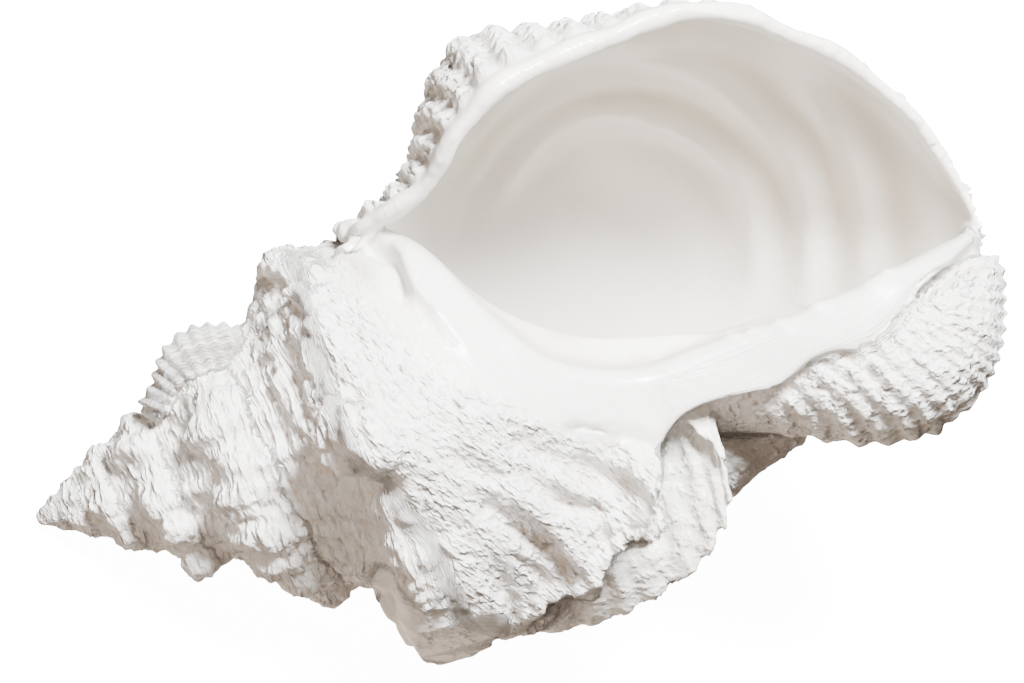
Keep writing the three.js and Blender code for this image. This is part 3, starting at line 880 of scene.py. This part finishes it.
def relief_tree(name):
    """Pushes each part of the surface out or in by its own relief, inside the given box."""
    tree, make, given = new_carver(name, [
        ("Lowest", "NodeSocketVector", None), ("Highest", "NodeSocketVector", None),
        ("Material", "NodeSocketMaterial", None)])
    turn, place, inside, skin = (make.stored(label) for label in MARKS)
    wings, fans, glaze, combs, mouth, shield = (
        make.stored(label) for label in ("wings", "fans", "glaze", "combs", "mouth", "shield"))
    whorls = make.maths("MAXIMUM", 1 - wings - fans - glaze - combs - mouth, 0)
    position = make.out("GeometryNodeInputPosition")
    along, p, z = own = make.own_frame(position)
    at = make.vector(along, p, z)
    drift = make.noise(at, .05, 3)
    fine = make.noise(at, .3, 3)
    wrinkle = make.noise(make.vector(along / 1.3, p / 2.2, z / 2.2), 1.0, 3)
    rim = make.curve(LIP_TURN, place) - turn
    last = make.maths("GREATER_THAN", skin, .5)
    near_rim = last * (1 - make.ease(rim, 2.5, 5.5))

    outer = whorl_relief(make, turn, place, at, drift, fine, wrinkle)
    # No groove is deep enough to break through the wall, which is thinnest near the lip.
    outer = make.maths("MAXIMUM", outer, last * (1 - make.ease(rim, 20, 44)) - 1.3)
    outer = outer * (1 - near_rim) * (1 - shield)
    outer = outer * (1 - beside_the_post(make, along, p) * .5)
    sheet = shield_relief(make, own, make.stored("smooth")) * shield
    wing_height = wing_relief(make, turn, place, drift, fine, wrinkle)
    fan_height = fan_relief(make, turn, own, at, drift, fine, wrinkle)
    comb_height = make.wave(turn * COMB_RIBS) * 1.2 - .5
    bowl = bowl_relief(make, own, at) * mouth * make.ease(rim, 4, 12)
    rolled = bell(make, rim, 1.5, 3) * last * (1 - inside) * (1 + make.wave(place * 8.5 + .3) * 1.2)
    height = (outer * whorls + sheet * (1 - fans) + wing_height * wings
              + fan_height * fans * (1 - glaze) * (1 - mouth) + comb_height * combs + bowl + rolled)

    geometry = make.store(given["Geometry"], "rim", near_rim)
    geometry = make.pushed(geometry, height)
    held = make.vectors("MAXIMUM", position, given["Lowest"])
    geometry = make.placed(geometry, make.vectors("MINIMUM", held, given["Highest"]))
    # How far each point lies below its neighbourhood, near and wide; the chalk's painted shade
    # follows these.
    for label, times in (("pit", 3), ("hollow", 14)):
        lift = make.vectors("SUBTRACT", make.soft(position, times, "FLOAT_VECTOR"), position)
        low = make.vectors("DOT_PRODUCT", lift, make.out("GeometryNodeInputNormal"), output=1)
        geometry = make.store(geometry, label, low * METRE)
    finish_tree(make, geometry, given["Material"])
    return tree


def nearest_on(line, own):
    """For each point, the number of the line's nearest point and the gap from that one to it."""
    gaps = own[:, None, :2] - line
    closest = (gaps ** 2).sum(-1).argmin(1)
    return closest, gaps[np.arange(len(own)), closest]


def past_ridge(own):
    """Distance in millimetres past the edge of the thick ridge, below 0 short of it."""
    edge = np.array(RIDGE_EDGE, float)
    line = np.stack([edge[:, 0], -edge[:, 1] * np.sin(np.radians(edge[:, 2]))], -1)
    line = np.stack(columns_of(line, np.linspace(0, 1, 300)), -1)
    ahead = np.gradient(line, axis=0)
    distance = np.full(len(own), -30.0)
    near = np.nonzero((own[:, 0] > 70) & (own[:, 0] < 165) & (own[:, 1] < 0))[0]
    for part in np.array_split(near, 20):
        closest, gap = nearest_on(line, own[part])
        way = ahead[closest]
        side = np.sign(way[:, 1] * gap[:, 0] - way[:, 0] * gap[:, 1])
        distance[part] = side * np.linalg.norm(gap, axis=1)
    return distance


def stroke_heights(own, front):
    """Ridges and grooves that follow no rule, drawn on the mouth's side."""
    height = np.zeros(len(own))
    for tall, wide, path in STROKES:
        path = np.array(path, float)
        length = np.linalg.norm(np.diff(path, axis=0), axis=1).sum()
        v = np.linspace(0, 1, max(3, int(length / .5)))
        line = np.stack(columns_of(path, v), -1)
        low, high = line.min(0) - 3 * wide, line.max(0) + 3 * wide
        near = np.nonzero(((own[:, :2] > low) & (own[:, :2] < high)).all(1) & (front > 0))[0]
        closest, gap = nearest_on(line, own[near])
        end = np.minimum(1, np.minimum(v[closest], 1 - v[closest]) * length / (1.5 * wide) + .35)
        height[near] += tall * end * np.exp(-(gap ** 2).sum(-1) / wide ** 2)
    return height


def ridge_lift(own, past, front):
    """The thick ridge stands proud of the former lip behind it."""
    x, y, z = own.T
    lift = 2.4 * np.exp(-(np.minimum(past, 0) / 4) ** 2) * (past < 0) * ARRAYS.ease(-past, 0, .8)
    lift -= 1.8 * np.exp(-(past / 2.2) ** 2) * (past >= 0)
    return lift * (front * (z > -12) * ARRAYS.ease(x, 84, 92) * (1 - ARRAYS.ease(y, -32, -25)))


def bowl_fall(own, lip_line):
    """Behind the inner lip's edge the mouth falls away steeply."""
    x, y, z = own.T
    deep = ARRAYS.ease(y - lip_line, .3, 3) * (1 - ARRAYS.ease(y - lip_line, 6, 12))
    deep *= ARRAYS.ease(x, 112, 122) * (1 - ARRAYS.ease(x, 150, 172)) * ARRAYS.ease(z, 2, 12)
    return deep * 2.6


def shield_share(own, past, front, body):
    """1 on the shield, left of the mouth, and 0 off it."""
    x, y, _ = own.T
    left = ARRAYS.ease(x - np.interp(y, *zip(*SHIELD_FROM)), 0, 6)
    right = 1 - ARRAYS.ease(x, 150, 156)
    share = left * right * front * body * (1 - ARRAYS.ease(y, 44, 48))
    return share * (1 - ARRAYS.ease(past, -.5, 1))


def carve_mouth_side(mesh):
    """Presses in what is seen beside the mouth only, and marks the shield there."""
    points, own = points_of(mesh)
    normals = np.empty(points.size)
    mesh.vertex_normals.foreach_get("vector", normals)
    normals = normals.reshape(-1, 3)
    skin = value_of(mesh, "skin")
    inside = value_of(mesh, "inside") * (skin > .5)
    front = ARRAYS.ease((normals @ np.array(turned))[:, 2], -.05, .4)
    front = front * (1 - np.clip(inside, 0, 1))
    past = past_ridge(own)
    x, y, z = own.T
    lip = np.array(INNER_LIP, float)
    lip_line = np.interp(x, lip[:, 0], lip[:, 1])

    outwards = np.array(turned.col[2])
    moved = points + normals * (stroke_heights(own, front) * front * MM)[:, None]
    moved += (ridge_lift(own, past, front) * MM)[:, None] * outwards
    moved -= (bowl_fall(own, lip_line) * MM)[:, None] * outwards
    mesh.vertices.foreach_set("co", moved.reshape(-1))

    body = (np.abs(skin - 1) > .5) & (z > 5) & (value_of(mesh, "fans") < .5)
    behind = ARRAYS.ease(y - lip_line, -2, .5) * (x > 100) * (x < 232) * (skin != 1)
    behind *= z < np.interp(x, lip[:, 0], lip[:, 2]) + 1
    keep_value(mesh, "mouth", np.maximum(value_of(mesh, "mouth"), behind))
    keep_value(mesh, "shield", shield_share(own, past, front, body))
    keep_value(mesh, "smooth", ARRAYS.ease(x - np.interp(y, *zip(*SMOOTH_FROM)), -4, 8))
    mesh.update()


def chalk_and_porcelain():
    """Chalky and wrinkled outside, smooth as porcelain in the mouth."""
    material = bpy.data.materials.new("chalk_and_porcelain")
    material.use_nodes = True
    make = Carver(material.node_tree)
    surface = material.node_tree.nodes["Principled BSDF"]

    def mark(label):
        return make.out("ShaderNodeAttribute", {"attribute_name": label}, None, 2)

    turn, place = mark("turn"), mark("place")
    wings, fans, glaze, mouth, shield, smooth, rim = (
        mark(label) for label in ("wings", "fans", "glaze", "mouth", "shield", "smooth", "rim"))
    where = Socket(make, make.node("ShaderNodeTexCoord").outputs["Object"])
    along, p, z = make.own_frame(where)
    at = make.vector(along, p, z)
    rough = (1 - glaze * .92) * (1 - mouth) * (1 - rim) * (1 - shield * smooth * .85)
    rough = make.maths("MAXIMUM", rough, 0) * (1 - wings * (1 - shield) * .55)

    size = growth(turn)
    dorsal = make.ease(turn, 185, 215) * (1 - shield)
    lengthwise = make.vector(place * size * 100 + along * .25, turn * size * .15 + p * .25, z * .3)
    aslant = make.vector((along * .84 + p * .54) / 1.05, (along * .54 - p * .84) / 2.3, z / 2.3)

    # Soft folds that meet in narrow creases, drawn out along the growth or aslant.
    level = make.scaled(at, .5)
    lie = make.mixed(lengthwise, aslant, make.maths("MINIMUM", shield, 1))
    lie = make.mixed(lie, level, make.maths("MINIMUM", (wings + fans) * (1 - shield), 1))
    folds = make.noise(lie, .72, 1.6)
    creased = (folds * folds + .006) ** .5
    grain = make.noise(at, 1.5, 2)
    pores = make.ease(make.noise(at, 1.1, 1), .24, .3)
    height = (folds * 3.6 + creased * 2.6) * (1 - shield * .1) + grain * .3 - pores * .7
    height = height * rough * (1 - dorsal * .7)
    height = height + make.noise(at, .25, 1) * .3
    bump = make.node("ShaderNodeBump", None, {"Strength": 1.0, "Distance": .0008, "Height": height})
    material.node_tree.links.new(bump.outputs["Normal"], surface.inputs["Normal"])

    # Painted shade: the chalk is painted darker and warmer in pits and hollows, in the creases of
    # the folds and on the stretch under the inner lip, and darker in its pores.
    sunk = make.ease(mark("pit"), .06, .4) * .42 + make.ease(mark("hollow"), .3, 2.6) * .36
    sunk = sunk + make.ease(-folds, .0, .2) * .22 + pores * .2
    sunk = sunk + beside_the_post(make, along, p) * .12
    sunk = make.maths("MINIMUM", sunk * rough * (1 - dorsal * .5), 1)
    chalk_tone = make.tones(CHALK, CHALK_IN_PAINTED_SHADE, sunk)
    # Painted shade and light: the mouth is painted darker and creamier under the lip, in arcs round
    # the bowl, and paler in the depth of the bowl.
    shade_below_lip = make.ease(along * .5 + p * .87 + make.noise(at, .03, 1) * 22, 74, 122)
    shade_below_lip = shade_below_lip * mouth * (1 - rim)
    radius = make.away(along, p, BANDS_CENTRE) + make.noise(at, .02, 1) * 9
    bands = make.wave(radius / 14 + make.noise(at, .012, 1) * .8) * make.ease(radius, 22, 34)
    shade_below_lip = shade_below_lip * (.55 + bands * .4)
    mouth_tone_with_shade = make.tones(make.tones(PAINTED_LIGHT_DEEP_IN_BOWL, SHADE_BELOW_LIP_COLOUR, shade_below_lip), GLAZED, glaze)
    colour = make.tones(mouth_tone_with_shade, chalk_tone, rough)
    material.node_tree.links.new(colour.output, surface.inputs["Base Color"])
    polish = .42 - (1 - rough) * .12
    material.node_tree.links.new(polish.output, surface.inputs["Roughness"])
    coat = (1 - rough) * .25
    material.node_tree.links.new(coat.output, surface.inputs["Coat Weight"])
    surface.inputs["Coat Roughness"].default_value = .22
    return material


chalk = chalk_and_porcelain()

shell = bpy.data.objects.new("shell_of_frog_snail", with_lobes.data.copy())
bpy.context.collection.objects.link(shell)
remesh = shell.modifiers.new("one_body", "REMESH")
remesh.mode = "VOXEL"
remesh.voxel_size = ONE_BODY_VOXEL
remesh.use_smooth_shade = True
run_tree(shell, marks_tree("one_body_marks"), {"Sheets": joined, "Material": chalk})
shell.data = applied(shell, "shell_of_frog_snail")
carve_mouth_side(shell.data)
low, high = (Vector(corner) for corner in cad_box)
gap = Vector((MM, MM, .2 * MM))
run_tree(shell, relief_tree("shell_relief"), {
    "Lowest": low + gap, "Highest": high - gap, "Material": chalk})
shell.data = applied(shell, "shell_of_frog_snail")
triangles = sum(len(face.vertices) - 2 for face in shell.data.polygons)
thin = shell.modifiers.new("thinner", "DECIMATE")
thin.ratio = min(1, MOST_TRIANGLES / triangles)
shell.data = applied(shell, "shell_of_frog_snail")
shell.data.materials.clear()
shell.data.materials.append(chalk)
shell.data.shade_smooth()
bpy.data.objects.remove(joined)
bpy.data.objects.remove(with_lobes)

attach(shell, "root")
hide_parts("conch_shell")

# ---- floor, light and camera ----
white = bpy.data.materials.new("white_floor")
white.use_nodes = True
paint = white.node_tree.nodes["Principled BSDF"].inputs
paint["Base Color"].default_value = (.95, .95, .95, 1)
paint["Roughness"].default_value = .9
paint["Emission Color"].default_value = (1, 1, 1, 1)
paint["Emission Strength"].default_value = 14


def floor_and_backdrop():
    """A flat disc whose rim rises in one smooth sweep, so that no view meets an edge."""
    flat, sweep = 2.2, .8
    profile = [(0, 0), (flat, 0)]
    for angle in np.radians(range(10, 91, 10)):
        profile.append((flat + sweep * math.sin(angle), sweep - sweep * math.cos(angle)))
    profile += [(3, 3), (2.4, 4.2), (0, 5)]
    corners, faces, around = [], [], 64
    for out, height in profile:
        for k in range(around):
            angle = 2 * math.pi * k / around
            corners.append((out * math.cos(angle), out * math.sin(angle), height))
    for i in range(len(profile) - 1):
        for k in range(around):
            a, b = i * around + k, i * around + (k + 1) % around
            faces.append((a, a + around, b + around, b))
    mesh = bpy.data.meshes.new("floor")
    mesh.from_pydata(corners, [], faces)
    mesh.materials.append(white)
    return bpy.data.objects.new("floor", mesh)


floor = floor_and_backdrop()
bpy.context.collection.objects.link(floor)
floor.visible_diffuse = False
floor.visible_glossy = False
floor.visible_shadow = False

world = bpy.data.worlds.new("studio")
bpy.context.scene.world = world
world.use_nodes = True
sky = world.node_tree.nodes["Background"].inputs
sky["Color"].default_value = (1, .79, .62, 1)
sky["Strength"].default_value = .19

toward = turned @ Vector((0, 0, 1))
upwards = turned @ VIEW_UP
across = upwards.cross(toward).normalized()
upwards = toward.cross(across)
centre = to_row @ (VIEW_MIDDLE * MM)


def facing(place, target, up):
    back = (place - target).normalized()
    right = up.cross(back).normalized()
    matrix = Matrix((right, back.cross(right), back)).transposed().to_4x4()
    matrix.translation = place
    return matrix


def lamp(name, place, size, watts, colour=(1, 1, 1)):
    light = bpy.data.lights.new(name, "AREA")
    light.color = colour
    light.shape = "SQUARE"
    light.size = size
    light.energy = watts
    holder = bpy.data.objects.new(name, light)
    holder.matrix_world = facing(place, centre, Vector((.1, .9, .3)))
    bpy.context.collection.objects.link(holder)
    return holder


lamp("softbox", centre + across * .38 + upwards * .72 + toward * .96, .36, 120)
lamp("fill", centre - across * .5 - upwards * .25 + toward * 1.0, .5, 6.5, (1, .82, .68))
# Light that a pale table throws back: it shines through the floor, which casts no shadow.
lamp("bounce", centre - Vector((0, 0, .8)), 1.0, 7, (1, .8, .64))

lens = bpy.data.cameras.new("camera")
lens.lens = VIEW_LENS
camera = bpy.data.objects.new("camera", lens)
camera.matrix_world = facing(centre + toward, centre, upwards)
bpy.context.collection.objects.link(camera)
bpy.context.scene.camera = camera
